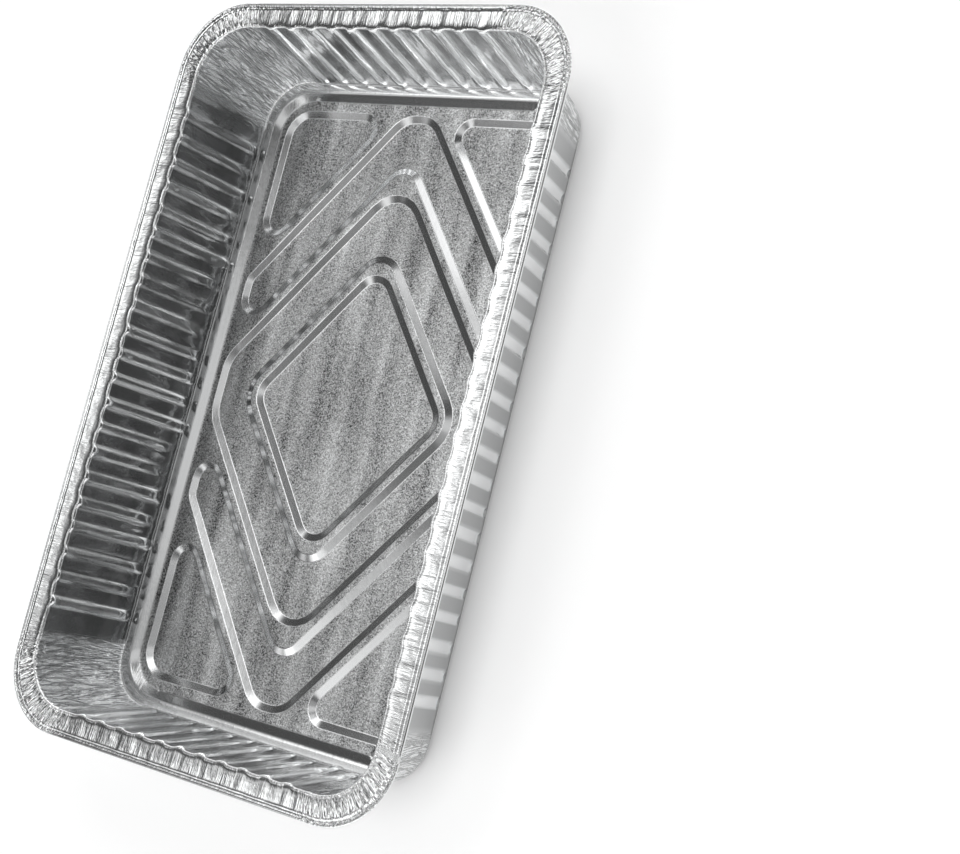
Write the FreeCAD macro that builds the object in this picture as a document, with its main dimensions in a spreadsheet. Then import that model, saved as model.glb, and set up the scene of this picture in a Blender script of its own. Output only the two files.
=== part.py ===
import FreeCAD, Part
import math
import os
from types import SimpleNamespace

import Sketcher

# Foil drip tray: one sheet of aluminium foil, pressed to shape.
# The frame has its origin on the ground under the middle of the tray, with the
# short side along X, the long side along Y and the open side up, along Z.
# The sheet is a flat flange with a rolled edge, pressed down to a fluted wall,
# a ledge round the foot of the wall, and a ribbed floor whose panels are the feet.

NODE = "foil_tray"

SIZES = [
    # name, value in mm (or a plain number), what it is
    ("foil", 0.15, "thickness of the foil"),
    ("tray_length", 527, "overall length, over the rolled edge"),
    ("tray_width", 325, "overall width, over the rolled edge"),
    ("tray_height", 80, "from the ground to the top of the flange"),
    ("rim_radius", 50, "corner of the rolled edge, in plan"),
    ("roll_radius", 1.2, "outside of the rolled edge, in section"),
    ("roll_turn", 290, "how far the edge is rolled, in degrees"),
    ("flange_width", 18, "from the fold at the top of the wall to the rolled edge"),
    ("fold_radius", 37, "corner of the fold at the top of the wall"),
    ("wall_run", 10, "how far the wall leans out on each side"),
    ("foot_radius", 32, "corner at the foot of the wall"),
    ("ledge_height", 5, "from the ground to the underside of the ledge"),
    ("ledge_width", 7, "flat ledge round the foot of the wall"),
    ("ledge_radius", 29, "corner of the ledge's inner edge"),
    ("step_run", 7, "slope from the ledge down to the border"),
    ("border_radius", 26, "corner of the border's outer edge"),
    ("border_side", 3.9, "flat border between the slope and the panels, along the long walls"),
    ("border_end", 6.5, "flat border between the slope and the panels, along the short walls"),
    ("emboss", 1.8, "how far the ribs and the border stand over the panels' underside"),
    ("flank", 5.6, "plan width of each slope between rib and panel"),
    ("rib_top", 4.3, "flat top of a rib"),
    ("ring_gap", 47, "from the field's end to the ring panel's corner on the Y axis"),
    ("ring_side", 20.3, "from the X axis to the end of the ring panel's straight side"),
    ("chevron_crown", 11, "from the Y axis to the chevron panel's corner at the short wall"),
    ("island_gap", 14.8, "from the field's side to the inner rib's outer foot"),
    ("gusset_radius", 15, "gusset panel, at the tray's corner"),
    ("gusset_end_radius", 8, "gusset panel, other two corners"),
    ("chevron_end_radius", 8, "chevron panel, at the long walls"),
    ("chevron_crown_radius", 18, "chevron panel, at the short wall"),
    ("chevron_notch_radius", 18, "chevron panel, inner corner of the V"),
    ("ring_side_radius", 25, "ring panel, at the long walls"),
    ("ring_crown_radius", 20, "ring panel, corner on the Y axis"),
    ("island_side_radius", 27, "inner rib's outer foot, corner on the X axis"),
    ("island_crown_radius", 20, "inner rib's outer foot, corner on the Y axis"),
    ("diamond_radius", 12, "diamond panel, all corners"),
    ("flute_depth", 1.5, "how far a flute is pressed into the wall"),
    ("flute_mouth", 8.4, "flute's width at the wall's outer face"),
    ("flute_floor", 4.6, "flute's width at its deepest"),
    ("long_wall_pitch", 17.8, "from one flute to the next on a long wall"),
    ("long_wall_margin", 24, "plain wall kept at each end of a long wall's flutes, or more"),
    ("short_wall_pitch", 17.6, "from one flute to the next on a short wall"),
    ("short_wall_margin", 13, "plain wall kept at each end of a short wall's flutes, or more"),
]


class Size:
    """A size from the sheet, or arithmetic on sizes: its number now, and its expression."""

    def __init__(self, number, text):
        self.number = number
        self.text = text

    def joined(self, other, sign, number):
        text = other.text if isinstance(other, Size) else repr(other)
        return Size(number, f"({self.text} {sign} {text})")

    def __add__(self, other):
        return self.joined(other, "+", self.number + plain(other))

    def __sub__(self, other):
        return self.joined(other, "-", self.number - plain(other))

    def __mul__(self, other):
        return self.joined(other, "*", self.number * plain(other))

    def __truediv__(self, other):
        return self.joined(other, "/", self.number / plain(other))

    def __neg__(self):
        return Size(-self.number, f"(0 - {self.text})")


def plain(item):
    """The number of a Size, or the number itself."""
    return item.number if isinstance(item, Size) else item


def root(item):
    """Square root of a Size."""
    return Size(math.sqrt(item.number), f"sqrt({item.text})")


def whole(item):
    """The whole number at or below a Size."""
    return Size(float(math.floor(item.number)), f"floor({item.text})")


doc = FreeCAD.newDocument("FoilDripTray")
sheet = doc.addObject("Spreadsheet::Sheet", "Sizes")
for row, (name, number, meaning) in enumerate(SIZES, start=1):
    sheet.set(f"A{row}", name)
    sheet.set(f"B{row}", str(number))
    sheet.set(f"C{row}", meaning)
    sheet.setAlias(f"B{row}", name)
doc.recompute()
s = SimpleNamespace(**{name: Size(float(sheet.get(name)), f"Sizes.{name}") for name, *rest in SIZES})
ZERO = Size(0.0, "0")

body = doc.addObject("PartDesign::Body", NODE)
body.Label = NODE
body.Placement = FreeCAD.Placement()
origin = {feature.Role: feature for feature in body.Origin.OriginFeatures}


def new_sketch(name, plane, level):
    """A sketch on one of the body's origin planes, moved off the plane to a level."""
    sketch = body.newObject("Sketcher::SketchObject", name)
    sketch.AttachmentSupport = (origin[plane], [""])
    sketch.MapMode = "FlatFace"
    sketch.setExpression("AttachmentOffset.Base.z", level.text)
    return sketch


def bind(sketch, kind, geometry, size):
    """Add one driving dimension to a sketch and tie it to the sheet."""
    index = sketch.addConstraint(Sketcher.Constraint(kind, *geometry, size.number))
    sketch.setExpression(f"Constraints[{index}]", size.text)


def place(sketch, geometry, x, y):
    """Place one point of a sketch by its two distances from the sketch's origin."""
    bind(sketch, "DistanceX", (-1, 1, *geometry), x)
    bind(sketch, "DistanceY", (-1, 1, *geometry), y)


def outline(name, level, corners, plane="XY_Plane"):
    """Closed outline through corners, counterclockwise, each (x, y, radius or None).

    A sharp corner is placed by two distances. A rounded one is an arc, tangent to
    both sides, and the point where the sides would meet is placed instead.
    """
    sketch = new_sketch(name, plane, level)
    points = [FreeCAD.Vector(x.number, y.number, 0) for x, y, radius in corners]
    count = len(corners)
    ends = []
    curves = []
    for index, (x, y, radius) in enumerate(corners):
        point = points[index]
        if radius is None:
            ends.append((point, point))
            curves.append(None)
            continue
        back = (points[index - 1] - point).normalize()
        ahead = (points[(index + 1) % count] - point).normalize()
        half_angle = back.getAngle(ahead) / 2
        centre = point + (back + ahead).normalize() * (radius.number / math.sin(half_angle))
        first = point + back * (radius.number / math.tan(half_angle))
        last = point + ahead * (radius.number / math.tan(half_angle))
        convex = back.cross(ahead).z < 0
        angles = [math.atan2((end - centre).y, (end - centre).x) for end in (first, last)]
        circle = Part.Circle(centre, FreeCAD.Vector(0, 0, 1), radius.number)
        ends.append((first, last))
        curves.append((Part.ArcOfCircle(circle, *(angles if convex else angles[::-1])), convex))
    sides = []
    for index in range(count):
        side = Part.LineSegment(ends[index][1], ends[(index + 1) % count][0])
        sides.append(sketch.addGeometry(side))
    for index, (x, y, radius) in enumerate(corners):
        before, after = sides[index - 1], sides[index]
        if radius is None:
            sketch.addConstraint(Sketcher.Constraint("Coincident", before, 2, after, 1))
            place(sketch, (after, 1), x, y)
            continue
        curve, convex = curves[index]
        arc = sketch.addGeometry(curve)
        first, last = (1, 2) if convex else (2, 1)
        sketch.addConstraint(Sketcher.Constraint("Tangent", before, 2, arc, first))
        sketch.addConstraint(Sketcher.Constraint("Tangent", arc, last, after, 1))
        bind(sketch, "Radius", (arc,), radius)
        corner = sketch.addGeometry(Part.Point(points[index]), True)
        sketch.addConstraint(Sketcher.Constraint("PointOnObject", corner, 1, before))
        sketch.addConstraint(Sketcher.Constraint("PointOnObject", corner, 1, after))
        place(sketch, (corner, 1), x, y)
    return sketch


def rectangle(half_x, half_y, radius):
    """Corners of a rounded rectangle about the Z axis."""
    return [
        (half_x, -half_y, radius),
        (half_x, half_y, radius),
        (-half_x, half_y, radius),
        (-half_x, -half_y, radius),
    ]


def loft(kind, name, sections):
    """Straight loft between two outlines, added to the body or cut from it."""
    feature = body.newObject(f"PartDesign::{kind}Loft", name)
    feature.Profile = sections[0]
    feature.Sections = [sections[1]]
    feature.Ruled = True
    feature.Refine = False
    return feature


def press_down(name, start, end):
    """Press the foil down along a slope, from one (level, corners) to a lower one.

    The solid under the slope is added and the hollow over it, one foil higher, is cut.
    """
    ends = (("top", *start), ("bottom", *end))
    under = [outline(f"{name}_{end}", level, corners) for end, level, corners in ends]
    over = [outline(f"{name}_hollow_{end}", level + s.foil, corners) for end, level, corners in ends]
    loft("Additive", name, under)
    loft("Subtractive", f"{name}_hollow", over)


def press_up(name, start, end):
    """Press the foil up along a slope, from one (level, corners) to a higher one.

    The solid over the slope is added and the hollow under it, one foil lower, is cut.
    """
    ends = (("foot", *start), ("crown", *end))
    over = [outline(f"{name}_{end}", level + s.foil, corners) for end, level, corners in ends]
    under = [outline(f"{name}_hollow_{end}", level, corners) for end, level, corners in ends]
    loft("Additive", name, over)
    loft("Subtractive", f"{name}_hollow", under)


# Flange: a flat plate with its top at the tray's full height. It reaches out to the
# middle of the rolled edge, where the roll's crown takes over.
roll_centre_x = s.tray_width / 2 - s.roll_radius
roll_centre_y = s.tray_length / 2 - s.roll_radius
flange_under = s.tray_height - s.foil
plate = rectangle(roll_centre_x, roll_centre_y, s.rim_radius - s.roll_radius)
flange = body.newObject("PartDesign::Pad", "flange")
flange.Profile = outline("flange_edge", flange_under, plate)
flange.setExpression("Length", s.foil.text)

# Rolled edge: the foil curls out, down and back under the flange. Its section is a
# ring of foil, open towards the tray, swept round the flange's outline.
roll = new_sketch("roll_section", "XZ_Plane", ZERO)
roll_level = s.tray_height - s.roll_radius
middle = FreeCAD.Vector(roll_centre_x.number, roll_level.number, 0)
stop = math.radians(90 - s.roll_turn.number)
skins = []
for radius in (s.roll_radius, s.roll_radius - s.foil):
    circle = Part.Circle(middle, FreeCAD.Vector(0, 0, 1), radius.number)
    skin = roll.addGeometry(Part.ArcOfCircle(circle, stop, math.pi / 2))
    bind(roll, "Radius", (skin,), radius)
    place(roll, (skin, 3), roll_centre_x, roll_level)
    skins.append(skin)
outer_skin, inner_skin = skins
outer_ends, inner_ends = [
    (roll.getPoint(skin, 1), roll.getPoint(skin, 2)) for skin in skins
]
joint = roll.addGeometry(Part.LineSegment(outer_ends[1], inner_ends[1]))
lip = roll.addGeometry(Part.LineSegment(inner_ends[0], outer_ends[0]))
for first, second in (
    ((outer_skin, 2), (joint, 1)),
    ((joint, 2), (inner_skin, 2)),
    ((inner_skin, 1), (lip, 1)),
    ((lip, 2), (outer_skin, 1)),
):
    roll.addConstraint(Sketcher.Constraint("Coincident", *first, *second))
roll.addConstraint(Sketcher.Constraint("Vertical", joint))
for line in (joint, lip):
    roll.addConstraint(Sketcher.Constraint("PointOnObject", outer_skin, 3, line))
turn = roll.addConstraint(Sketcher.Constraint("Angle", outer_skin, math.radians(s.roll_turn.number)))
roll.setExpression(f"Constraints[{turn}]", f"{s.roll_turn.text} * 1 deg")
route = outline("roll_route", roll_level, [(roll_centre_x, ZERO, None), *plate[1:], plate[0]])
rolled_edge = body.newObject("PartDesign::AdditivePipe", "rolled_edge")
rolled_edge.Profile = roll
rolled_edge.Spine = route
rolled_edge.Refine = False

# Wall: pressed down from the fold at the flange to the ledge. The hollow lies one
# foil inside the solid on every side, because the wall is steep.
fold_x = s.tray_width / 2 - s.flange_width
fold_y = s.tray_length / 2 - s.flange_width
foot_x = fold_x - s.wall_run
foot_y = fold_y - s.wall_run
wall = [
    outline("wall_top", flange_under, rectangle(fold_x, fold_y, s.fold_radius)),
    outline("wall_foot", s.ledge_height, rectangle(foot_x, foot_y, s.foot_radius)),
]
hollow = [
    outline(
        "wall_hollow_top",
        s.tray_height,
        rectangle(fold_x - s.foil, fold_y - s.foil, s.fold_radius - s.foil),
    ),
    outline(
        "wall_hollow_foot",
        s.ledge_height + s.foil,
        rectangle(foot_x - s.foil, foot_y - s.foil, s.foot_radius - s.foil),
    ),
]
loft("Additive", "wall", wall)
loft("Subtractive", "wall_hollow", hollow)

# Step: from the ledge's inner edge down to the border that frames the floor.
ledge_x = foot_x - s.ledge_width
ledge_y = foot_y - s.ledge_width
border_x = ledge_x - s.step_run
border_y = ledge_y - s.step_run
press_down(
    "step",
    (s.ledge_height, rectangle(ledge_x, ledge_y, s.ledge_radius)),
    (s.emboss, rectangle(border_x, border_y, s.border_radius)),
)

# Floor panels: each is pressed down from the border and the ribs to the ground. The
# ring panel's corners fix the diagonal, and every rib runs along it. The slopes beside
# a rib keep their width at right angles to it, so they take more along the Y axis.
def panel_limits(inset):
    """Half sizes of the field of panels, inside the border."""
    return border_x - s.border_side - inset, border_y - s.border_end - inset


field_x, field_y = panel_limits(s.flank)
ring_crown = field_y - s.ring_gap
rib_slope = (ring_crown - s.ring_side) / field_x
along_y = root(rib_slope * rib_slope + 1)


def above_rib(rib, inset):
    """Where a panel's edge on the far side of a rib meets the Y axis."""
    return rib + along_y * (s.rib_top / 2 + inset)


def below_rib(rib, inset):
    """Where a panel's edge on the near side of a rib meets the Y axis."""
    return rib - along_y * (s.rib_top / 2 + inset)


# Where each rib's middle line meets the Y axis.
middle_rib = above_rib(ring_crown, s.flank)
outer_rib = above_rib(field_y + rib_slope * s.chevron_crown, s.flank)
inner_rib = below_rib(rib_slope * (field_x - s.island_gap), s.flank)


def gusset(inset):
    """Triangle in the corner of the floor, outside the outer rib."""
    side, end = panel_limits(inset)
    edge = above_rib(outer_rib, inset)
    widen = s.flank - inset
    return [
        (side, edge - rib_slope * side, s.gusset_end_radius + widen),
        (side, end, s.gusset_radius + widen),
        ((edge - end) / rib_slope, end, s.gusset_end_radius + widen),
    ]


def chevron(inset):
    """V between the outer and the middle rib, cut off by the border on three sides."""
    side, end = panel_limits(inset)
    far = below_rib(outer_rib, inset)
    near = above_rib(middle_rib, inset)
    widen = s.flank - inset
    crown = (far - end) / rib_slope
    return [
        (side, near - rib_slope * side, s.chevron_end_radius + widen),
        (side, far - rib_slope * side, s.chevron_end_radius + widen),
        (crown, end, s.chevron_crown_radius + widen),
        (-crown, end, s.chevron_crown_radius + widen),
        (-side, far - rib_slope * side, s.chevron_end_radius + widen),
        (-side, near - rib_slope * side, s.chevron_end_radius + widen),
        (ZERO, near, s.chevron_notch_radius - widen),
    ]


def ring(inset):
    """Hexagon inside the middle rib, cut off by the border on two sides."""
    side, end = panel_limits(inset)
    edge = below_rib(middle_rib, inset)
    widen = s.flank - inset
    shoulder = edge - rib_slope * side
    return [
        (side, -shoulder, s.ring_side_radius + widen),
        (side, shoulder, s.ring_side_radius + widen),
        (ZERO, edge, s.ring_crown_radius + widen),
        (-side, shoulder, s.ring_side_radius + widen),
        (-side, -shoulder, s.ring_side_radius + widen),
        (ZERO, -edge, s.ring_crown_radius + widen),
    ]


def lozenge(edge, side_radius, crown_radius):
    """Four-sided outline whose corners lie on the axes."""
    return [
        (edge / rib_slope, ZERO, side_radius),
        (ZERO, edge, crown_radius),
        (-(edge / rib_slope), ZERO, side_radius),
        (ZERO, -edge, crown_radius),
    ]


def turned(corners, along_x, along_y):
    """The same outline mirrored along X, Y or both, still counterclockwise."""
    moved = [(x * along_x, y * along_y, radius) for x, y, radius in corners]
    return moved if along_x == along_y else moved[::-1]


def panel(name, shape, along_x=1, along_y=1):
    """Press one panel from the ribs' level down to the ground."""
    press_down(
        name,
        (s.emboss, turned(shape(ZERO), along_x, along_y)),
        (ZERO, turned(shape(s.flank), along_x, along_y)),
    )


for end_name, along_y_axis in (("far", 1), ("near", -1)):
    panel(f"{end_name}_chevron", chevron, along_y=along_y_axis)
    for side_name, along_x_axis in (("right", 1), ("left", -1)):
        panel(f"{end_name}_{side_name}_gusset", gusset, along_x_axis, along_y_axis)
panel("ring", ring)

# Inner rib: a lozenge pressed back up inside the ring, with the diamond pressed
# down inside it again, which leaves the rib standing between them.
press_up(
    "inner_rib",
    (
        ZERO,
        lozenge(above_rib(inner_rib, s.flank), s.island_side_radius, s.island_crown_radius),
    ),
    (
        s.emboss,
        lozenge(
            above_rib(inner_rib, ZERO),
            s.island_side_radius - s.flank,
            s.island_crown_radius - s.flank,
        ),
    ),
)
press_down(
    "diamond",
    (
        s.emboss,
        lozenge(
            below_rib(inner_rib, ZERO),
            s.diamond_radius + s.flank,
            s.diamond_radius + s.flank,
        ),
    ),
    (
        ZERO,
        lozenge(below_rib(inner_rib, s.flank), s.diamond_radius, s.diamond_radius),
    ),
)

# Flutes: pressed into the wall from outside, from the fold to the ledge. Each is a
# boss of foil inside the wall, and a groove one foil smaller cut from outside it.
# The pair is repeated along the wall and mirrored to the opposite wall.
splay = (s.flute_mouth - s.flute_floor) / (s.flute_depth * 2)
skin_offset = root(splay * splay + 1) * s.foil


def flute_section(name, level, face, start, across, deep, shallow, margin):
    """Trapezoid across a wall's outer face, narrow at its deep side, inside the wall.

    face is the wall's distance from the middle and start the flute's place along the
    wall. across is the axis that the wall faces. margin is added on each sloping side.
    """
    narrow = s.flute_floor / 2 + splay * (s.flute_depth - deep) + margin
    wide = s.flute_floor / 2 + splay * (s.flute_depth - shallow) + margin
    corners = [
        (face - deep, start - narrow, None),
        (face - shallow, start - wide, None),
        (face - shallow, start + wide, None),
        (face - deep, start + narrow, None),
    ]
    if across == "Y":
        corners = [(along, out, radius) for out, along, radius in reversed(corners)]
    return outline(name, level, corners)


def flute_row(name, across, along, foot, fold, straight, pitch):
    """A row of flutes on one wall and its mirror image on the wall opposite.

    The row is centred and has as many flutes as the straight length of wall takes.
    """
    count = whole(straight / pitch) + 1
    start = -((count - 1) * pitch / 2)
    wall_ends = (("foot", s.ledge_height, foot), ("fold", flange_under, fold))
    boss_ends = (("foot", s.ledge_height, foot), ("fold", s.tray_height, fold))
    boss = loft("Additive", f"{name}_boss", [
        flute_section(
            f"{name}_boss_{end}", level, face, start, across,
            s.flute_depth + s.foil, s.foil / 2, skin_offset,
        )
        for end, level, face in boss_ends
    ])
    groove = loft("Subtractive", f"{name}_groove", [
        flute_section(
            f"{name}_groove_{end}", level, face, start, across,
            s.flute_depth, -s.flute_depth, ZERO,
        )
        for end, level, face in wall_ends
    ])
    rows = body.newObject("PartDesign::MultiTransform", f"{name}_flutes")
    repeat = body.newObject("PartDesign::LinearPattern", f"{name}_repeat")
    repeat.Direction = (origin[f"{along}_Axis"], [""])
    repeat.setExpression("Length", ((count - 1) * pitch).text)
    repeat.setExpression("Occurrences", count.text)
    mirror = body.newObject("PartDesign::Mirrored", f"{name}_mirror")
    mirror.MirrorPlane = (origin[f"{along}Z_Plane"], [""])
    rows.Originals = [boss, groove]
    rows.Transformations = [repeat, mirror]
    rows.Refine = False
    body.Tip = rows


short_wall = (foot_x - s.foot_radius - s.short_wall_margin) * 2
long_wall = (foot_y - s.foot_radius - s.long_wall_margin) * 2
flute_row("short_wall", "Y", "X", foot_y, fold_y, short_wall, s.short_wall_pitch)
flute_row("long_wall", "X", "Y", foot_x, fold_x, long_wall, s.long_wall_pitch)

doc.recompute()
for item in doc.Objects:
    if "Invalid" in item.State or "Error" in item.State:
        raise RuntimeError(f"{item.Name} did not build: {item.State}")
if body.Shape.isNull() or not body.Shape.isValid() or len(body.Shape.Solids) != 1:
    raise RuntimeError(f"{body.Label} is not one valid solid")

os.makedirs("parts", exist_ok=True)
body.Shape.exportStep(f"parts/{body.Label}.step")
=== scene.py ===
import bpy
import numpy as np
from mathutils import Matrix, Vector
from mathutils.geometry import delaunay_2d_cdt


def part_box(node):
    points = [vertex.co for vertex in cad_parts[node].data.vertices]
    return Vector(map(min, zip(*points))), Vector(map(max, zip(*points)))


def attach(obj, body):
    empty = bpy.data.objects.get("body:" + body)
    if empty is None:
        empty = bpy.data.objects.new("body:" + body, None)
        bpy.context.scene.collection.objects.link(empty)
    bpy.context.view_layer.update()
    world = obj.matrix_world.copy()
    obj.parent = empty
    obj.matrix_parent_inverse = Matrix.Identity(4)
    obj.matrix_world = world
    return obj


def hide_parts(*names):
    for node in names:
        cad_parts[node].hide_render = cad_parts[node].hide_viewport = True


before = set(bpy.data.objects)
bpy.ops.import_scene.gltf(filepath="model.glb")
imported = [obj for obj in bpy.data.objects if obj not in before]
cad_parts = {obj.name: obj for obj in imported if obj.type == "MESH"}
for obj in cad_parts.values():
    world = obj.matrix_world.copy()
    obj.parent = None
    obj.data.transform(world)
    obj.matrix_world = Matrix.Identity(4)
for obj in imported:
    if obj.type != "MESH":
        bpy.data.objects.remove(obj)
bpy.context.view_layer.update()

# Flange and rolled edge of the foil tray: half-hard aluminium foil, drawn in one press
# from a flat sheet. Its edge is curled over into a bead, and the foil that the corners
# have to spare gathers there into small radial pleats. Lengths are in millimetres.
MM = 0.001
FOIL = 0.15
WIDTH, LENGTH = (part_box("foil_tray")[1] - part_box("foil_tray")[0]).xy / MM
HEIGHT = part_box("foil_tray")[1].z / MM
BEAD_RADIUS, BEAD_INSET, BEAD_PLEAT = 1.12, 1.2, 0.16
BEAD_RUN = 0
BEAD_TURNS = np.radians([-200, -160, -120, -80, -40, 0, 40, 75, 115])
rng = np.random.default_rng(11)

FLUTES = {"long": 21, "short": 11}
PITCH = {"long": 17.8, "short": 17.6}
FLUTE_COLUMNS = np.array([-6.9, -4.7, -3.7, -2.5, -1.2, 1.2, 2.5, 3.7, 4.7, 6.9])
MARGIN_COLUMNS = 6
CORNER_COLUMNS = 101

# Half sizes and corner radius of each line that runs round the tray, from the bead in:
# bead, fold at the wall's top, wall's foot, ledge's inner edge, border, border inside.
RAILS = np.array([
    [WIDTH / 2 - BEAD_INSET, LENGTH / 2 - BEAD_INSET, 48.8],
    [WIDTH / 2 - 18, LENGTH / 2 - 18, 37],
    [WIDTH / 2 - 28, LENGTH / 2 - 28, 32],
    [WIDTH / 2 - 35, LENGTH / 2 - 35, 29],
    [WIDTH / 2 - 42, LENGTH / 2 - 42, 26],
    [WIDTH / 2 - 43, LENGTH / 2 - 43, 25],
])


def wall_columns(kind):
    """Where columns stand along one wall's fold.

    Columns repeat with the flutes, then spread evenly over the plain margin at each end.
    """
    centres = (np.arange(FLUTES[kind]) - (FLUTES[kind] - 1) / 2) * PITCH[kind]
    fluted = (centres[:, None] + FLUTE_COLUMNS).ravel()
    half = (RAILS[1, 1] if kind == "long" else RAILS[1, 0]) - RAILS[1, 2]
    spare = np.linspace(fluted[-1], half, MARGIN_COLUMNS + 2)[1:-1]
    return np.concatenate([-spare[::-1], fluted, spare])


def around():
    """Plan of every column: which wall it stands on, its place there, and its angle.

    The right, far, left and near walls follow each other counterclockwise, each with
    the corner after it. Angles run through a corner from 0 to 1 of a quarter turn.
    """
    side, along, turn = [], [], []
    quarter = (np.arange(CORNER_COLUMNS) + 0.5) / CORNER_COLUMNS
    for index in range(4):
        columns = wall_columns("long" if index % 2 == 0 else "short")
        side += [np.full(len(columns), index), np.full(CORNER_COLUMNS, index)]
        along += [columns, np.full(CORNER_COLUMNS, np.nan)]
        turn += [np.full(len(columns), np.nan), quarter]
    return map(np.concatenate, (side, along, turn))


side, along, turn = around()
COUNT = len(side)
straight = np.isnan(turn)
long_wall = side % 2 == 0
flute_pitch = np.where(long_wall, PITCH["long"], PITCH["short"])
flutes_each_way = np.where(long_wall, FLUTES["long"] // 2, FLUTES["short"] // 2)
last_flute = flutes_each_way * flute_pitch + FLUTE_COLUMNS[-1]


def rail_plan(half_x, half_y, radius):
    """Point and outward direction of every column on one rounded rectangle.

    On a wall the place along it is the column's own as far as the last flute, and is
    then squeezed into what the wall has left. In a corner it is a point of the arc.
    """
    half_long = np.where(long_wall, half_y, half_x) - radius
    fold_long = np.where(long_wall, RAILS[1, 1], RAILS[1, 0]) - RAILS[1, 2]
    beyond = np.maximum(np.abs(along) - last_flute, 0)
    squeezed = np.minimum(np.abs(along), last_flute)
    squeezed = squeezed + beyond * (half_long - last_flute) / (fold_long - last_flute)
    place = np.sign(along) * squeezed
    out = np.where(long_wall, half_x, half_y)
    angle = np.where(straight, 0, turn) * np.pi / 2
    local_out = np.where(straight, out, out - radius + radius * np.cos(angle))
    local_along = np.where(straight, place, half_long + radius * np.sin(angle))
    facing = side * np.pi / 2
    cos, sin = np.cos(facing), np.sin(facing)
    point = np.stack([
        cos * local_out - sin * local_along,
        sin * local_out + cos * local_along,
    ], -1)
    direction = np.stack([np.cos(facing + angle), np.sin(facing + angle)], -1)
    return point, direction


rails = [rail_plan(*rail) for rail in RAILS]


def at_rail(q):
    """Plan points at a place q between rails, straight from each rail to the next."""
    lower = min(int(q), len(rails) - 2)
    share = q - lower
    return rails[lower][0] * (1 - share) + rails[lower + 1][0] * share


fold_step = np.linalg.norm(np.roll(rails[1][0], -1, 0) - rails[1][0], axis=1)
fold_length = np.concatenate([[0], np.cumsum(fold_step)[:-1]])
perimeter = fold_step.sum()


def creases(pitch, spread):
    """Random zigzag over the fold's length: sharp ridges and valleys, straight between.

    Knots stand a pitch apart, give or take a share of it, and alternate in sign.
    """
    count = int(perimeter / pitch) // 2 * 2
    knots = (np.arange(count) + rng.uniform(-spread, spread, count)) * perimeter / count
    values = rng.uniform(0.25, 1, count) * np.where(np.arange(count) % 2, 1, -1)
    return np.interp(fold_length, knots, values, period=perimeter)


def soft_step(low, high, value):
    """0 below low, 1 above high, and an S curve between them."""
    share = np.clip((value - low) / (high - low), 0, 1)
    return share * share * (3 - 2 * share)


CORNER_START = {"long": 208.5, "short": 107.5}
CORNER_FADE = 14
to_corner = np.where(long_wall, CORNER_START["long"], CORNER_START["short"]) - np.abs(along)
corner = 1 - soft_step(0, CORNER_FADE, np.where(straight, to_corner, 0))
MIDDLE_KEY, KEYS_PER_WALL, NO_FLUTE = 12, 25, 99
flute_number = np.where(straight, np.round(along / flute_pitch), 0)
flute_key = (flute_number + MIDDLE_KEY + side * KEYS_PER_WALL).astype(int)


def per_flute(low, high, source=rng):
    """A random value for each flute, the same in all of its columns."""
    return source.uniform(low, high, 4 * KEYS_PER_WALL)[flute_key]


flute_offset = np.abs(along - flute_number * flute_pitch - per_flute(-0.45, 0.45))
flute_offset = np.where(straight & (np.abs(along) < last_flute + 2), flute_offset, NO_FLUTE)
scallop = 1 - soft_step(1.5, 6.0, flute_offset)

rows = []


def add_row(plan, level, travel):
    """Keep one row of the skin: its plan, its level, and its place down the section."""
    level = np.broadcast_to(np.asarray(level, float), (COUNT,))
    rows.append((np.column_stack([plan, level]), travel))


outward = rails[0][1]
bead_pleats = creases(1.1, 0.2) * corner
creases(23, 0.35)  # not used: it only keeps the later random draws as they are
for angle in BEAD_TURNS:
    radius = BEAD_RADIUS - BEAD_PLEAT * corner * (1 + bead_pleats)
    plan = rails[0][0] + outward * (radius * np.cos(angle))[:, None]
    add_row(plan, HEIGHT - BEAD_INSET + radius * np.sin(angle), BEAD_RUN - angle)

# Rows of the flange from the bead in: place between the first two rails, lift from the
# tray's top, and how much of the wrinkles it takes. All but the right side of the
# flange dips a little towards the wall.
FLANGE_ROWS = (
    (0.12, -1.45, 0.2), (0.19, -0.4, 0.5), (0.3, -0.55, 0.8),
    (0.46, -0.6, 1.0), (0.64, -0.65, 1.0), (0.84, -0.7, 0.8),
)
DIP_SLOPE, DIP_START, FOLD_DIP = 0.98, 0.19, 0.65
TOP_CLEARANCE = 0.1
FLANGE_RUN, FLANGE_SPAN, FOLD_RUN = 3, 17, 20
pleats = 0.5 * creases(1.9, 0.3) + 0.25 * creases(3.1, 0.3)
crumples = 0.2 * creases(4.6, 0.45) + 0.16 * creases(11.0, 0.4)
dip = 1 - 0.9 * np.clip(outward[:, 0] * 1.2, 0, 1)
for q, lift, gather in FLANGE_ROWS:
    wrinkle = corner * pleats * 0.9 + (1 - corner) * crumples
    drift = 0.16 * creases(6 + 5 * q, 0.4)
    level = HEIGHT + lift - DIP_SLOPE * dip * max(q - DIP_START, 0)
    level = level + (wrinkle + drift) * gather * 0.8
    sideways = 0.25 * gather * creases(8, 0.4)
    plan = at_rail(q) + outward * sideways[:, None]
    add_row(plan, np.minimum(level, HEIGHT - TOP_CLEARANCE), FLANGE_RUN + q * FLANGE_SPAN)

# Rows over the fold at the wall's top: distance out of the fold, and lift.
FOLD_ROWS = ((1.1, -0.35), (0.35, -0.12), (-0.3, -0.5))
fold_plan = rails[1][0] - rails[1][1] * (scallop * 1.1)[:, None]
for q_out, lift in FOLD_ROWS:
    bump = corner * pleats * 0.35
    plan = fold_plan + rails[1][1] * (q_out + 0.3 * bump)[:, None]
    level = HEIGHT + lift - FOLD_DIP * dip + 0.12 * bump - 0.1 * scallop
    add_row(plan, level, FOLD_RUN - q_out)

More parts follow.
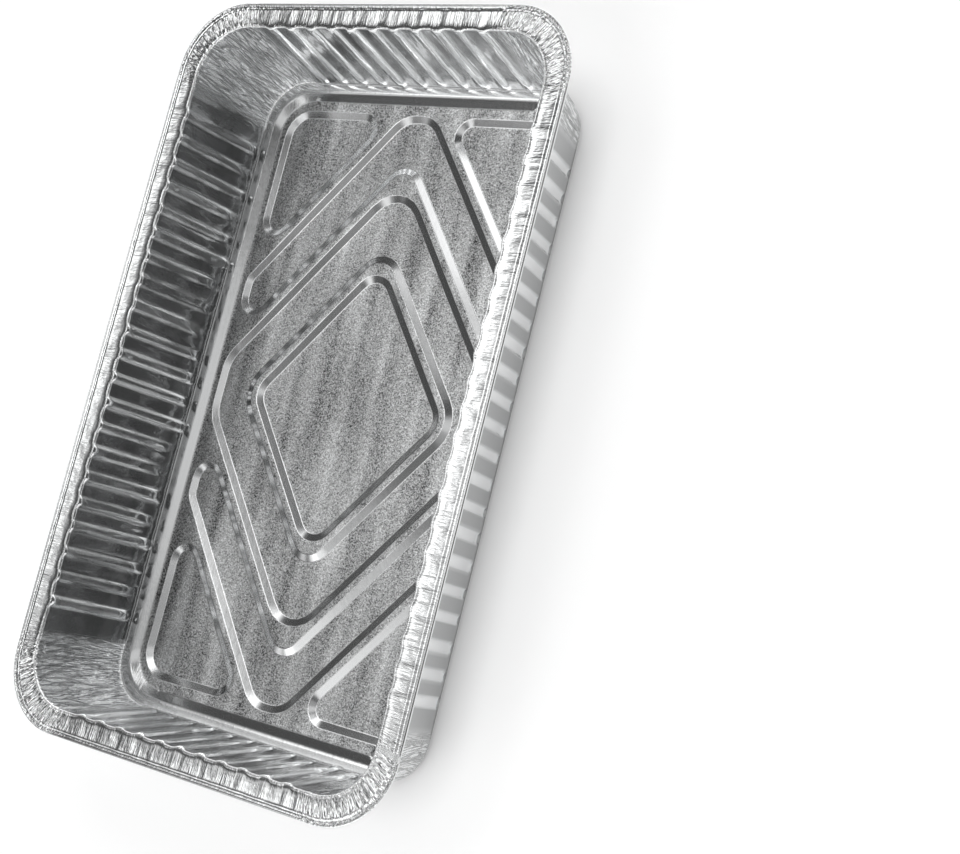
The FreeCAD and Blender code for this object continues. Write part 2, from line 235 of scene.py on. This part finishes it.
# Wall: the side of the tray, drawn from the same foil and stiffened by flutes that are
# pressed in from outside. Each flute is a shallow channel with round ends. Spare foil
# gathers into a fan of fine wrinkles at each corner.
FLUTE_DEPTH = 1.5
FLUTE_HALF_FLOOR, FLUTE_HALF_MOUTH = 2.2, 4.3
FLUTE_FOOT, FLUTE_HEAD = 0.945, 0.045
WALL_TOP, WALL_FOOT = HEIGHT - 0.6, 5.1
WALL_ROWS = (0.03, 0.07, 0.12, 0.22, 0.36, 0.5, 0.64, 0.78, 0.88, 0.93, 0.965, 1.0)
WALL_RUN, WALL_SPAN = 21, 75
wall_drop = WALL_TOP - WALL_FOOT
inward = -rails[2][1]
fan_high, fan_low = creases(1.7, 0.3), creases(2.3, 0.35)
fan_long = creases(3.4, 0.4)
buckle = creases(31, 0.4)
flute_depth = FLUTE_DEPTH * per_flute(0.7, 1.15)
flute_foot = FLUTE_FOOT + per_flute(-0.02, 0.01)
flute_width = per_flute(0.88, 1.15)

# The left wall is knocked about: its flutes stop short and are crumpled. Its flutes also keep
# less of their painted light, a different share for each flute.
LEFT_WALL, FOOT_LOSS = 2, 0.2
knocks = np.random.default_rng(5)
battered_and_painted_dim = (side == LEFT_WALL) * (1 - corner)
flute_foot = flute_foot - battered_and_painted_dim * FOOT_LOSS * per_flute(0, 1, knocks) ** 1.5
# Painted shade: each left-wall flute keeps only a random share of its painted light.
painted_light_level = 1 - battered_and_painted_dim * per_flute(0.15, 0.95, knocks)
pressed = []
for t in WALL_ROWS:
    past_end = np.maximum(np.maximum(t - flute_foot, FLUTE_HEAD - t), 0) * wall_drop
    from_line = np.hypot(flute_offset / flute_width, past_end)
    uneven = 1 + (per_flute(0.75, 1.2) - 1) * (1 + 1.5 * battered_and_painted_dim)
    press = flute_depth * uneven * (1 - soft_step(FLUTE_HALF_FLOOR, FLUTE_HALF_MOUTH, from_line))
    pressed.append(1 - soft_step(3.0, 4.6, from_line))
    press = press * (1 - 0.75 * soft_step(0.97, 1.0, t))
    press = press + 0.8 * scallop * (1 - soft_step(0, 0.09, t))
    fan = 0.6 * fan_high * (1 - soft_step(0.25, 0.75, t))
    fan = fan + 0.5 * fan_low * soft_step(0.2, 0.7, t)
    fan = (1.3 * fan + 0.5 * fan_long) * corner * (1 - 0.8 * soft_step(0.9, 1.0, t))
    sway = 0.5 * buckle * np.sin(np.pi * t)
    ripple = 0.16 * creases(4.2, 0.4) + 0.1 * creases(9.5, 0.4)
    ripple = ripple * (1 - soft_step(0.94, 1.0, t)) * (1 + 1.8 * battered_and_painted_dim)
    plan = at_rail(1 + t) + inward * (press + 0.8 * fan + sway + ripple)[:, None]
    add_row(plan, WALL_TOP - wall_drop * t, WALL_RUN + WALL_SPAN * t)

dense = np.array([points for points, travel in rows])
travel_dense = np.array([travel for points, travel in rows])

# Ledge and step: a flat ledge stiffens the foot of the wall, and a short slope leads
# down to the border that frames the floor. Both are drawn with the wall.
# Its rows are given by place between the rails and level. They have a third of the
# wall's columns.
THIN = 3
LEDGE, BORDER = 5.0 + FOIL / 2, 1.8 + FOIL / 2
LEDGE_ROWS = (
    (2.2, LEDGE), (2.75, LEDGE + 0.05), (3.0, LEDGE - 0.15), (3.2, LEDGE - 0.7),
    (3.5, (LEDGE + BORDER) / 2), (3.8, BORDER + 0.7), (4.0, BORDER + 0.15), (5.0, BORDER),
)
ROWS_TO_BORDER = 6
thin = slice(0, COUNT, THIN)
sparse = []
for q, level in LEDGE_ROWS:
    plan = at_rail(q)[thin]
    sparse.append(np.column_stack([plan, np.full(len(plan), level)]))
sparse = np.array(sparse)
THIN_COUNT = sparse.shape[1]


def ring_faces(first, second, count):
    """Quads between two closed rows of count points that start at first and second."""
    here = np.arange(count)
    ahead = (here + 1) % count
    return np.column_stack([first + here, first + ahead, second + ahead, second + here])


def thinning_faces(first, second, count):
    """Triangles from a closed row of THIN x count points to one of count points."""
    here = np.arange(count)
    ahead = (here + 1) % count
    a, b, c, d = (first + (here * THIN + k) % (count * THIN) for k in range(4))
    near, far = second + here, second + ahead
    return np.concatenate([
        np.column_stack([a, b, near]),
        np.column_stack([b, c, near]),
        np.column_stack([c, far, near]),
        np.column_stack([c, d, far]),
    ])


# Floor: pressed into panels that are the tray's feet, with ribs standing between them:
# a gusset in each corner, a chevron at each end, and a ring round a diamond.
FLANK, RIB_TOP, PANEL_DROP = 5.6, 4.3, 1.8
FIELD = RAILS[4, :2] - [3.9 + FLANK, 6.5 + FLANK]
RING_CROWN = FIELD[1] - 47
SLOPE = (RING_CROWN - 20.3) / FIELD[0]
ALONG_Y = np.hypot(SLOPE, 1)
MIDDLE_RIB = RING_CROWN + ALONG_Y * (RIB_TOP / 2 + FLANK)
OUTER_RIB = FIELD[1] + SLOPE * 11 + ALONG_Y * (RIB_TOP / 2 + FLANK)
INNER_RIB = SLOPE * (FIELD[0] - 14.8) - ALONG_Y * (RIB_TOP / 2 + FLANK)
SHARES = np.array([-0.06, 0.04, 0.11, 0.89, 0.96, 1.06])
DROPS = np.array([0, 0.015, 0.07, 0.93, 0.985, 1])

# Points in each arc of an outline, and how far apart they stand along its sides.
ARC_POINTS = 7
SPACING = 3.4


def rounded(corners, spacing):
    """Closed outline through corners (x, y, radius), with an arc in each corner.

    Each arc has ARC_POINTS points, and the side after it as many more as spacing says.
    """
    corners = np.array(corners, float)
    points, radii = corners[:, :2], corners[:, 2]
    back = np.roll(points, 1, 0) - points
    ahead = np.roll(points, -1, 0) - points
    back /= np.linalg.norm(back, axis=1)[:, None]
    ahead /= np.linalg.norm(ahead, axis=1)[:, None]
    half = np.arccos(np.clip((back * ahead).sum(1), -1, 1)) / 2
    middle = back + ahead
    middle /= np.linalg.norm(middle, axis=1)[:, None]
    centre = points + middle * (radii / np.sin(half))[:, None]
    start = points + back * (radii / np.tan(half))[:, None] - centre
    end = points + ahead * (radii / np.tan(half))[:, None] - centre
    sweep = np.arctan2(start[:, 0] * end[:, 1] - start[:, 1] * end[:, 0], (start * end).sum(1))
    pieces = []
    for index in range(len(points)):
        angle = sweep[index] * np.linspace(0, 1, ARC_POINTS)
        x, y = start[index]
        arc = centre[index] + np.column_stack([
            x * np.cos(angle) - y * np.sin(angle), x * np.sin(angle) + y * np.cos(angle)])
        following = (index + 1) % len(points)
        first, last = arc[-1], centre[following] + start[following]
        share = np.linspace(0, 1, spacing[index] + 2)[1:-1, None]
        pieces += [arc, first * (1 - share) + last * share]
    return np.concatenate(pieces)


def gusset(inset):
    """Triangle in a corner of the floor, beyond the outer rib."""
    side, end = FIELD + FLANK - inset
    edge = OUTER_RIB + ALONG_Y * (RIB_TOP / 2 + inset)
    widen = FLANK - inset
    return [
        (side, edge - SLOPE * side, 8 + widen),
        (side, end, 15 + widen),
        ((edge - end) / SLOPE, end, 8 + widen),
    ]


def chevron(inset):
    """V between the outer and the middle rib."""
    side, end = FIELD + FLANK - inset
    far = OUTER_RIB - ALONG_Y * (RIB_TOP / 2 + inset)
    near = MIDDLE_RIB + ALONG_Y * (RIB_TOP / 2 + inset)
    widen = FLANK - inset
    crown = (far - end) / SLOPE
    return [
        (side, near - SLOPE * side, 8 + widen),
        (side, far - SLOPE * side, 8 + widen),
        (crown, end, 18 + widen),
        (-crown, end, 18 + widen),
        (-side, far - SLOPE * side, 8 + widen),
        (-side, near - SLOPE * side, 8 + widen),
        (0, near, 18 - widen),
    ]


def ring(inset):
    """Hexagon inside the middle rib."""
    side, end = FIELD + FLANK - inset
    edge = MIDDLE_RIB - ALONG_Y * (RIB_TOP / 2 + inset)
    widen = FLANK - inset
    shoulder = edge - SLOPE * side
    return [
        (side, -shoulder, 25 + widen),
        (side, shoulder, 25 + widen),
        (0, edge, 20 + widen),
        (-side, shoulder, 25 + widen),
        (-side, -shoulder, 25 + widen),
        (0, -edge, 20 + widen),
    ]


def lozenge(edge, side_radius, crown_radius):
    """Four-sided outline whose corners lie on the axes."""
    return [
        (edge / SLOPE, 0, side_radius), (0, edge, crown_radius),
        (-edge / SLOPE, 0, side_radius), (0, -edge, crown_radius),
    ]


def island(inset):
    """Outer foot of the inner rib; it rises as the inset shrinks."""
    edge = INNER_RIB + ALONG_Y * (RIB_TOP / 2 + inset)
    return lozenge(edge, 27 - FLANK + inset, 20 - FLANK + inset)


def diamond(inset):
    """Diamond panel inside the inner rib."""
    edge = INNER_RIB - ALONG_Y * (RIB_TOP / 2 + inset)
    return lozenge(edge, 12 + FLANK - inset, 12 + FLANK - inset)


def turned(shape, along_x, along_y):
    """The same outline mirrored along X, Y or both, still counterclockwise."""
    def mirrored(inset):
        moved = [(x * along_x, y * along_y, radius) for x, y, radius in shape(inset)]
        return moved if along_x == along_y else moved[::-1]
    return mirrored


panels = [turned(gusset, x, y) for y in (1, -1) for x in (1, -1)]
panels += [turned(chevron, 1, y) for y in (1, -1)] + [ring, diamond, island]
ISLAND = len(panels) - 1


def contours(shape):
    """Rows of points down one panel's flank, each row a rounded outline."""
    corners = np.array(shape(0), float)[:, :2]
    lengths = np.linalg.norm(np.roll(corners, -1, 0) - corners, axis=1)
    spacing = np.maximum(lengths / SPACING - 5, 1).astype(int)
    loops = [rounded(shape(FLANK * share), spacing) for share in SHARES]
    return np.array([
        np.column_stack([loop, np.full(len(loop), BORDER - PANEL_DROP * drop)])
        for loop, drop in zip(loops, DROPS)
    ])


def inside(points, loop):
    """Which points lie inside a closed loop, by counting the sides to their right."""
    a, b = loop[:, None, :2], np.roll(loop, -1, 0)[:, None, :2]
    x, y = points[None, :, 0], points[None, :, 1]
    spans = (a[..., 1] > y) != (b[..., 1] > y)
    rise = np.where(spans, b[..., 1] - a[..., 1], 1)
    crossing = a[..., 0] + (y - a[..., 1]) * (b[..., 0] - a[..., 0]) / rise
    return ((spans & (x < crossing)).sum(0) % 2).astype(bool)


flanks = [contours(shape) for shape in panels]
flanks[ISLAND] = flanks[ISLAND][::-1]

# Flats: the border, the ribs' tops and the panels' floors lie between the outlines. They
# are triangulated with a scatter of points inside, which keeps clear of every outline.
GRID, ROW_SHARE, CLEARANCE = 8.0, 0.87, 2.6
REACH_X, REACH_Y = 118, 219
grid_x, grid_y = np.meshgrid(
    np.arange(-REACH_X, REACH_X + 1, GRID), np.arange(-REACH_Y, REACH_Y + 1, GRID * ROW_SHARE))
grid_x = grid_x + (np.arange(len(grid_x)) % 2)[:, None] * GRID / 2
scatter = np.column_stack([grid_x.ravel(), grid_y.ravel()])
border_loop = sparse[-1]
loops = [border_loop] + [flank[k] for flank in flanks for k in (0, -1)]
outlines = np.concatenate(loops)
apart = scatter[:, None, :] - outlines[None, :, :2]
clear = (apart ** 2).sum(-1).min(1) > CLEARANCE ** 2
in_flank = np.zeros(len(scatter), bool)
for flank in flanks:
    in_flank |= inside(scatter, flank[0]) != inside(scatter, flank[-1])
scatter = scatter[clear & ~in_flank & inside(scatter, border_loop)]


def level_at(points):
    """Level of the flat at each point: a panel is an odd number of outlines deep."""
    depth = sum(inside(points, flank[2]) for flank in flanks)
    return np.where(depth % 2, BORDER - PANEL_DROP, BORDER)


scatter = np.column_stack([scatter, level_at(scatter)])

vertices, faces = [], []
base = {}


def keep(name, points):
    """Add points to the mesh and remember where they start."""
    base[name] = sum(len(block) for block in vertices)
    vertices.append(points.reshape(-1, 3))


def face_rows(name, block):
    """Face each closed row of a kept block to the next; gives its first and last row."""
    start, count, size = base[name], len(block), block.shape[1]
    for index in range(count - 1):
        faces.extend(ring_faces(start + index * size, start + (index + 1) * size, size).tolist())
    return [start + np.arange(size), start + (count - 1) * size + np.arange(size)]


keep("dense", dense)
wall_end = face_rows("dense", dense)[1]
keep("sparse", sparse)
faces += thinning_faces(wall_end[0], base["sparse"], THIN_COUNT).tolist()
flat_ids = face_rows("sparse", sparse)[1:]
for number, flank in enumerate(flanks):
    keep(f"flank_{number}", flank)
    flat_ids += face_rows(f"flank_{number}", flank)
keep("scatter", scatter)
flat_ids.append(base["scatter"] + np.arange(len(scatter)))
flat_points = np.concatenate([outlines[:, :2], scatter[:, :2]])
flat_ids = np.concatenate(flat_ids)
edges, begin = [], 0
for loop in loops:
    here = begin + np.arange(len(loop))
    edges += np.column_stack([here, np.roll(here, -1)]).tolist()
    begin += len(loop)
made, _, triangles, origins, _, _ = delaunay_2d_cdt(
    [Vector(point) for point in flat_points.tolist()], edges, [], 0, 1e-4)
triangles = np.array(triangles)
middles = np.array([list(point) for point in made])[triangles].mean(1)
kept = inside(middles, border_loop)
for flank in flanks:
    kept &= inside(middles, flank[0]) == inside(middles, flank[-1])
own = flat_ids[np.array([origin[0] for origin in origins])]
faces += own[triangles[kept]].tolist()

# The floor swells a little, as thin foil does, and never sinks below the ground.
SWELL, SWELL_LIFT = 0.12, 2.1
points = np.concatenate(vertices)
fade = 1 - soft_step(2, 40, points[:, 2])
swell = (
    np.sin(points[:, 0] / 31 + 0.7) * np.sin(points[:, 1] / 47 + 1.9)
    + 0.6 * np.sin(points[:, 0] / 17 + points[:, 1] / 23)
    + 0.5 * np.sin(points[:, 1] / 13 - points[:, 0] / 29 + 2.2)
)
points[:, 2] += fade * SWELL * (swell + SWELL_LIFT)

mesh = bpy.data.meshes.new("foil_skin")
mesh.from_pydata(points * MM, [], faces)
mesh.validate()
mesh.shade_smooth()

# The run map holds the place round the tray and down its section on the bead, flange
# and wall, and the plan elsewhere.
flat_run = points[:, :2] * MM
dense_run = np.stack([
    np.broadcast_to(fold_length, dense.shape[:2]),
    np.broadcast_to(travel_dense[:, None], dense.shape[:2]),
], -1).reshape(-1, 2) * MM
flat_run[:len(dense_run)] = dense_run
corner_vertex = np.zeros(len(mesh.loops), np.int32)
mesh.loops.foreach_get("vertex_index", corner_vertex)
mesh.uv_layers.new(name="run").data.foreach_set("uv", flat_run[corner_vertex].ravel())


def paint(name, values):
    """Store a value for each point as an attribute that the material reads."""
    mesh.attributes.new(name, "FLOAT", "POINT").data.foreach_set("value", values)


# Drawn: 1 where the press has stretched the foil smooth, 0 on the grainy flats.
FLANK_DRAWN = np.array([0, 0.7, 1, 1, 0.7, 0])
drawn = np.ones(len(points), np.float32)
drawn[base["sparse"] + ROWS_TO_BORDER * THIN_COUNT:base["flank_0"]] = 0
for number, flank in enumerate(flanks):
    start, (count, size) = base[f"flank_{number}"], flank.shape[:2]
    drawn[start:start + count * size] = np.repeat(FLANK_DRAWN, size)
drawn[base["scatter"]:] = 0
paint("drawn", drawn)

# Gather: how much spare foil is pleated there, most in the corners of the wall.
PLAIN_GATHER = 0.05
row = np.arange(len(dense))[:, None]
on_bead = row < len(BEAD_TURNS)
on_side = row >= len(BEAD_TURNS) + len(FLANGE_ROWS) + len(FOLD_ROWS)
on_rim = np.where(on_bead, 0.04 + 0.5 * corner, 0.2 + 0.6 * corner)
gather = np.zeros(len(points), np.float32)
gather[:len(dense) * COUNT] = np.where(on_side, PLAIN_GATHER + 1.6 * corner, on_rim).ravel()
gather[base["sparse"]:base["flank_0"]] = PLAIN_GATHER
paint("gather", gather)

# Painted light and shade on the wall: the flutes are painted brighter and the wall between them
# darker, in place of the light and dark stripes that the flutes reflect; the wall's corners are
# painted a little brighter.
wall_start, wall_stop = (len(dense) - len(pressed)) * COUNT, len(dense) * COUNT
painted_light_rows = (np.array(pressed) * 1.5 * painted_light_level - 1) * (1 - corner) + 0.4 * corner
painted_flute_light = np.zeros(len(points), np.float32)
painted_flute_light[wall_start:wall_stop] = np.ravel(painted_light_rows)
paint("painted_flute_light", painted_flute_light)
tray = bpy.data.objects.new("foil_skin", mesh)
bpy.context.scene.collection.objects.link(tray)
shell = tray.modifiers.new("thickness", "SOLIDIFY")
shell.thickness = FOIL * MM
shell.offset = 0

# Bare aluminium: bright where it is drawn, grainy on the flats, and creased, with painted shade
# in the creases and painted light and shade on the wall's flutes.
BRIGHT, FLOOR_LOSS, PAINTED_FLUTE_LIGHT_SHARE, FOLD_PAINTED_SHADE = 0.82, 0.36, 0.33, 0.45
SPECKLE, BANDS, GRAIN_SHARE = 2.2, 1.1, 0.8
DRAWN_ROUGHNESS, FLOOR_ROUGHNESS = 0.15, 0.36
STREAK_HEIGHT, PIT_HEIGHT, PLEAT_HEIGHT, FOLD_HEIGHT = 0.10, 0.05, 3.0, 1.2
FLAT_CRINKLE, WALL_CRINKLE = 0.06, 0.45
FOIL_TINT = (0.985, 0.995, 1.0)
foil = bpy.data.materials.new("foil")
foil.use_nodes = True
nodes, links = foil.node_tree.nodes, foil.node_tree.links
surface = nodes["Principled BSDF"]
surface.inputs["Metallic"].default_value = 1


def node(kind, **inputs):
    """A node with values or links given for its sockets, by name or by number."""
    made_node = nodes.new(kind)
    for key, value in inputs.items():
        socket = made_node.inputs[int(key[1:]) if key[0] == "_" and key[1:].isdigit() else key]
        if isinstance(value, bpy.types.NodeSocket):
            links.new(value, socket)
        else:
            socket.default_value = value
    return made_node


def maths(operation, first, second=0.0, clamp=False):
    """Result of a Math node."""
    made_node = node("ShaderNodeMath", _0=first, _1=second)
    made_node.operation = operation
    made_node.use_clamp = clamp
    return made_node.outputs[0]


def noise(vector, scale, detail=2.0, rough=0.5):
    """Value of a Noise Texture read at vector."""
    made_node = node(
        "ShaderNodeTexNoise", Vector=vector, Scale=scale, Detail=detail, Roughness=rough)
    return made_node.outputs[0]


def spread(value, low, high, out_low, out_high):
    """Value moved from one range to another, and held there."""
    ends = {"From Min": low, "From Max": high, "To Min": out_low, "To Max": out_high}
    return node("ShaderNodeMapRange", Value=value, **ends).outputs[0]


def stretched(vector, scale, turn=0.0):
    """Vector turned about Z and scaled on each axis, to draw a pattern out."""
    made_node = node("ShaderNodeMapping", Vector=vector, Scale=scale, Rotation=(0, 0, turn))
    return made_node.outputs[0]


def painted(name):
    """Value of one of the mesh's attributes."""
    made_node = nodes.new("ShaderNodeAttribute")
    made_node.attribute_name = name
    return made_node.outputs["Fac"]


place = nodes.new("ShaderNodeTexCoord").outputs["Object"]
run = nodes.new("ShaderNodeUVMap")
run.uv_map = "run"
run = run.outputs[0]
height = node("ShaderNodeSeparateXYZ", Vector=place).outputs[2]
on_floor = maths("SUBTRACT", 1.0, painted("drawn"), True)
above_ledge = spread(height, 0.0055, 0.0075, 0.0, 1.0)
below_flange = spread(height, 0.0775, 0.0785, 1.0, 0.0)
on_wall = maths("MULTIPLY", above_ledge, below_flange)
speckle = noise(place, 1150.0, 1.0, 0.7)
bands = noise(stretched(place, (62, 8, 5), 0.36), 1.0, 1.0)
speckled = maths("MULTIPLY", maths("SUBTRACT", speckle, 0.5), SPECKLE)
banded = maths("MULTIPLY", maths("SUBTRACT", bands, 0.5), BANDS)
grain = maths("MULTIPLY", maths("ADD", speckled, banded), on_floor)
shade = maths("ADD", BRIGHT, maths("MULTIPLY", grain, GRAIN_SHARE))
shade = maths("SUBTRACT", shade, maths("MULTIPLY", on_floor, FLOOR_LOSS))
# Painted light and shade: the flutes brighter, the wall between them darker, the corners a little
# brighter.
shade = maths("ADD", shade, maths("MULTIPLY", painted("painted_flute_light"), PAINTED_FLUTE_LIGHT_SHARE), True)
roughness = spread(on_floor, 0.0, 1.0, DRAWN_ROUGHNESS, FLOOR_ROUGHNESS)
links.new(roughness, surface.inputs["Roughness"])
gathered = painted("gather")


def ridges(vector, scale, detail=3.0):
    """Sharp creases with soft hollows between them, from folded noise."""
    level = noise(stretched(vector, scale), 1.0, detail, 0.6)
    return maths("ABSOLUTE", maths("SUBTRACT", level, 0.5))


# Pleats run down the section. Folds are thin lines where two leaning sets of ridges meet, and are
# kept to the corners of the wall; they are pressed in by the bump and darkened with painted shade
# in the base colour.
pleat = maths("ADD", ridges(run, (310, 40, 1)), maths("MULTIPLY", ridges(run, (130, 50, 1)), 0.9))
lean_one = ridges(stretched(run, (1, 1, 1), 0.1), (270, 24, 1), 1.0)
lean_two = ridges(stretched(run, (1, 1, 1), -0.16), (210, 20, 1), 1.0)
folds = spread(maths("MINIMUM", lean_one, lean_two), 0.0, 0.06, 1.0, 0.0)
in_corner = maths("MULTIPLY", on_wall, spread(gathered, 0.3, 1.6, 0.0, 1.0))
folds = maths("MULTIPLY", folds, in_corner)
streaks = noise(stretched(run, (420, 14, 1)), 1.0, 3.0, 0.6)
pits = noise(place, 900.0, 2.0, 0.6)
crinkle = noise(stretched(run, (120, 60, 1)), 1.0, 3.0, 0.7)
streaked = maths("MULTIPLY", streaks, maths("MULTIPLY", on_wall, STREAK_HEIGHT))
pitted = maths("MULTIPLY", pits, maths("MULTIPLY", on_floor, PIT_HEIGHT))
crinkled = maths("MULTIPLY", crinkle, spread(on_wall, 0.0, 1.0, FLAT_CRINKLE, WALL_CRINKLE))
pleated = maths("MULTIPLY", maths("MULTIPLY", pleat, gathered), PLEAT_HEIGHT)
relief = maths("ADD", maths("ADD", streaked, pitted), crinkled)
relief = maths("ADD", relief, pleated)
relief = maths("SUBTRACT", relief, maths("MULTIPLY", folds, FOLD_HEIGHT))
# Painted shade: the folds are darkened in the base colour.
shade = maths("SUBTRACT", shade, maths("MULTIPLY", folds, FOLD_PAINTED_SHADE), True)
tint = nodes.new("ShaderNodeCombineColor")
for channel, share in enumerate(FOIL_TINT):
    links.new(maths("MULTIPLY", shade, share), tint.inputs[channel])
links.new(tint.outputs[0], surface.inputs["Base Color"])
bump = node("ShaderNodeBump", Strength=0.6, Distance=MM, Height=relief)
links.new(bump.outputs[0], surface.inputs["Normal"])
mesh.materials.append(foil)
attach(tray, "root")
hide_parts("foil_tray")

# Stage: a plain pale paper floor just under the tray's feet. It glows white to the camera and in
# the foil, and that glow is dimmed near the tray by ambient occlusion, a painted shadow; the
# lamps' own shadow of the tray falls on it too.
PAPER_HALF, PAPER_LEVEL, PAPER_TONE = 6, -0.0002, 0.8
GLOW, PAINTED_SHADOW_REACH = 0.45, 0.03
floor_mesh = bpy.data.meshes.new("ground")
floor_mesh.from_pydata([
    (PAPER_HALF * x, PAPER_HALF * y, PAPER_LEVEL)
    for x, y in ((-1, -1), (1, -1), (1, 1), (-1, 1))
], [], [(0, 1, 2, 3)])
ground = bpy.data.objects.new("ground", floor_mesh)
bpy.context.scene.collection.objects.link(ground)
paper = bpy.data.materials.new("paper")
paper.use_nodes = True
nodes, links = paper.node_tree.nodes, paper.node_tree.links
sheet = nodes["Principled BSDF"]
sheet.inputs["Base Color"].default_value = (PAPER_TONE, PAPER_TONE, PAPER_TONE, 1)
sheet.inputs["Roughness"].default_value = 0.9
sheet.inputs["Specular IOR Level"].default_value = 0.0
rays = nodes.new("ShaderNodeLightPath").outputs
seen = maths("MAXIMUM", rays["Is Camera Ray"], rays["Is Glossy Ray"])
seen = maths("MAXIMUM", seen, rays["Is Transmission Ray"])
sheet.inputs["Emission Color"].default_value = (1, 1, 1, 1)
# Painted shadow: ambient occlusion dims the paper's glow near the tray.
painted_shadow_factor = node("ShaderNodeAmbientOcclusion", Distance=PAINTED_SHADOW_REACH).outputs["AO"]
glow = maths("MULTIPLY", maths("MULTIPLY", seen, GLOW), painted_shadow_factor)
links.new(glow, sheet.inputs["Emission Strength"])
floor_mesh.materials.append(paper)

# Light: soft boxes in a dim room, each given by its bearings from the right wall
# counterclockwise and its heights above the ground, in degrees, and its strength. A
# later box lies over an earlier one.
ROOM, BEARING_EDGE, HEIGHT_EDGE = 0.07, 4.0, 2.5
DEGREES = 180 / np.pi
world = bpy.data.worlds.new("studio")
bpy.context.scene.world = world
world.use_nodes = True
nodes, links = world.node_tree.nodes, world.node_tree.links
sky_place = nodes.new("ShaderNodeTexCoord").outputs["Generated"]
towards = node("ShaderNodeSeparateXYZ", Vector=sky_place)
climb = maths("MULTIPLY", maths("ARCSINE", towards.outputs[2]), DEGREES)
bearing = maths("MULTIPLY", maths("ARCTAN2", towards.outputs[1], towards.outputs[0]), DEGREES)


def between(value, low, high, edge):
    """1 where value lies between low and high, with soft edges."""
    above = spread(value, low - edge, low + edge, 0.0, 1.0)
    below = spread(value, high - edge, high + edge, 1.0, 0.0)
    return maths("MULTIPLY", above, below)


SOFT_BOXES = (
    ((-75, -20), (-10, 10), 0.6),
    ((-20, 40), (-10, 10), 0.35),
    ((-150, -15), (-10, 42), 1.0),
    ((-46, -20), (18, 40), 1.25),
    ((-135, -75), (28, 60), 1.9),
    ((-160, -75), (60, 70), 1.0),
    ((28, 200), (-10, 20), 1.5),
    ((-200, -150), (-10, 20), 1.5),
    ((95, 190), (-10, 20), 2.3),
    ((16, 38), (14, 30), 0.6),
    ((38, 112), (20, 40), 1.3),
    ((58, 112), (40, 59), 1.55),
    ((150, 190), (44, 50), 0.4),
    ((128, 192), (52, 60), 1.75),
    ((-176, -164), (47, 60), 0.85),
    ((128, 200), (60, 75), 1.8),
    ((-200, -160), (60, 75), 1.2),
    ((-10, 65), (60, 80), 0.45),
    ((-200, 200), (78, 100), 0.35),
    ((-25, 200), (78, 100), 0.7),
)
dome = ROOM
for bearings, heights, strength in SOFT_BOXES:
    across = between(bearing, *bearings, BEARING_EDGE)
    mask = maths("MULTIPLY", across, between(climb, *heights, HEIGHT_EDGE))
    blend = node("ShaderNodeMix", _0=mask, _2=dome, _3=strength)
    dome = blend.outputs[0]
links.new(dome, nodes["Background"].inputs["Color"])
nodes["Background"].inputs["Strength"].default_value = 1.0
bpy.context.scene.view_settings.view_transform = "Standard"

# Camera: a long lens, high over the tray's right side and rolled a little.
LENS, SENSOR = 60.4875, 36
camera_data = bpy.data.cameras.new("camera")
camera = bpy.data.objects.new("camera", camera_data)
bpy.context.scene.collection.objects.link(camera)
right = Vector((0.8378723226630218, 0.24013746477000347, -0.49020808737627775))
up = Vector((-0.14145081236215823, 0.9628768365262201, 0.22991273423484712))
back = Vector((0.5272206735299351, -0.12329718445728308, 0.840735490928953))
turned_to = Matrix((right, up, back)).transposed().to_4x4()
camera.matrix_world = Matrix.Translation(Vector((0.67091, -0.12885, 0.89349))) @ turned_to
camera_data.sensor_width = SENSOR
camera_data.lens = LENS
camera_data.clip_start, camera_data.clip_end = 0.05, 20
bpy.context.scene.camera = camera
